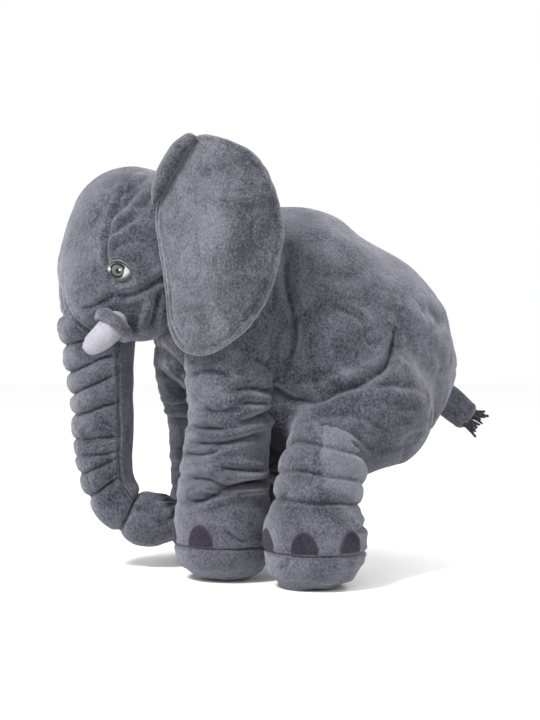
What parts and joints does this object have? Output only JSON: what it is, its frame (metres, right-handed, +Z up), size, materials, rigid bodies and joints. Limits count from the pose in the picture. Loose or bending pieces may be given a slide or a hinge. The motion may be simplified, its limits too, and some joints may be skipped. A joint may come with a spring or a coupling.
{
  "type": "stuffed elephant",
  "caption": "Stuffed plush elephant standing on padded feet, with a curled trunk, broad ears, soft tusks and a tufted tail, all sewn on so that they bend.",
  "frame": {"origin": "on the surface it stands on, under the middle of the bounding box", "axes": "+Z up, -Y the way the elephant faces, +X its left side; +Y is towards the tail and along the longest extent"},
  "size_m": [0.4054, 0.4928, 0.465],
  "materials": {
    "plush": "short-pile grey plush",
    "trunk_plush": "quilted short-pile grey plush",
    "sole_plush": "grey plush",
    "ear_lining": "short-pile grey plush",
    "filling": "polyester fibre",
    "tusk": "white velour",
    "eye": "satin embroidery",
    "nail": "satin stitch",
    "yarn": "yarn"
  },
  "bodies": {
    "torso": {"torso_side_left": "plush", "torso_side_right": "plush", "torso_belly_panel": "plush", "torso_filling": "filling", "thigh_cover_left": "plush", "thigh_cover_right": "plush", "thigh_filling_left": "filling", "thigh_filling_right": "filling"},
    "head": {"forehead_panel": "plush", "head_filling": "filling", "lower_lip": "plush", "cheek_panel_left": "plush", "cheek_panel_right": "plush", "eye_left": "eye", "eye_right": "eye", "tusk_left": "tusk", "tusk_right": "tusk", "tusk_collar_left": "plush", "tusk_collar_right": "plush"},
    "trunk_upper": {"trunk_upper_front": "trunk_plush", "trunk_upper_back": "trunk_plush", "trunk_upper_filling": "filling"},
    "trunk_middle": {"trunk_middle_front": "trunk_plush", "trunk_middle_back": "trunk_plush", "trunk_middle_filling": "filling"},
    "trunk_tip": {"trunk_tip_front": "trunk_plush", "trunk_tip_back": "trunk_plush", "trunk_tip_filling": "filling"},
    "tail": {"tail_cover": "plush", "tail_filling": "filling", "tail_tassel": "yarn"},
    "ear_left": {"ear_outer_left": "plush", "ear_inner_left": "ear_lining", "ear_wadding_left": "filling"},
    "front_leg_left": {"front_leg_sleeve_left": "plush", "front_sole_left": "sole_plush", "front_leg_filling_left": "filling", "front_toenails_left": "nail"},
    "hind_leg_left": {"hind_leg_sleeve_left": "plush", "hind_sole_left": "sole_plush", "hind_leg_filling_left": "filling", "hind_toenails_left": "nail"},
    "ear_right": {"ear_outer_right": "plush", "ear_inner_right": "ear_lining", "ear_wadding_right": "filling"},
    "front_leg_right": {"front_leg_sleeve_right": "plush", "front_sole_right": "sole_plush", "front_leg_filling_right": "filling", "front_toenails_right": "nail"},
    "hind_leg_right": {"hind_leg_sleeve_right": "plush", "hind_sole_right": "sole_plush", "hind_leg_filling_right": "filling", "hind_toenails_right": "nail"}
  },
  "joints": [
    {"name": "neck_nod", "type": "hinge", "parent": "torso", "child": "head", "pos_m": [0, -0.15642, 0.358], "axis": [1, 0, 0], "range_deg": [-10, 4], "stiffness_Nm_per_rad": 8},
    {"name": "trunk_root_curl", "type": "hinge", "parent": "head", "child": "trunk_upper", "pos_m": [0, -0.19742, 0.262], "axis": [1, 0, 0], "range_deg": [-15, 3], "stiffness_Nm_per_rad": 1.2},
    {"name": "trunk_middle_curl", "type": "hinge", "parent": "trunk_upper", "child": "trunk_middle", "pos_m": [0, -0.19742, 0.19], "axis": [1, 0, 0], "range_deg": [-15, 3], "stiffness_Nm_per_rad": 1},
    {"name": "trunk_tip_curl", "type": "hinge", "parent": "trunk_middle", "child": "trunk_tip", "pos_m": [0, -0.19742, 0.12], "axis": [1, 0, 0], "range_deg": [-15, 3], "stiffness_Nm_per_rad": 0.8},
    {"name": "tail_wag", "type": "hinge", "parent": "torso", "child": "tail", "pos_m": [0, 0.18658, 0.192], "axis": [0, 0, 1], "range_deg": [-20, 20], "stiffness_Nm_per_rad": 0.1},
    {"name": "ear_flap_left", "type": "hinge", "parent": "head", "child": "ear_left", "pos_m": [0.0895, -0.13542, 0.351], "axis": [0, 0, -1], "range_deg": [0, 60], "stiffness_Nm_per_rad": 0.4},
    {"name": "front_leg_swing_left", "type": "hinge", "parent": "torso", "child": "front_leg_left", "pos_m": [0.082, -0.06042, 0.292], "axis": [1, 0, 0], "range_deg": [-12, 1], "stiffness_Nm_per_rad": 10},
    {"name": "hind_leg_swing_left", "type": "hinge", "parent": "torso", "child": "hind_leg_left", "pos_m": [0.118, 0.04358, 0.146], "axis": [1, 0, 0], "range_deg": [0, 12], "stiffness_Nm_per_rad": 10},
    {"name": "ear_flap_right", "type": "hinge", "parent": "head", "child": "ear_right", "pos_m": [-0.0895, -0.13542, 0.351], "axis": [0, 0, 1], "range_deg": [0, 60], "stiffness_Nm_per_rad": 0.4},
    {"name": "front_leg_swing_right", "type": "hinge", "parent": "torso", "child": "front_leg_right", "pos_m": [-0.082, -0.06042, 0.292], "axis": [1, 0, 0], "range_deg": [-12, 1], "stiffness_Nm_per_rad": 10},
    {"name": "hind_leg_swing_right", "type": "hinge", "parent": "torso", "child": "hind_leg_right", "pos_m": [-0.118, 0.04358, 0.146], "axis": [1, 0, 0], "range_deg": [0, 12], "stiffness_Nm_per_rad": 10}
  ]
}
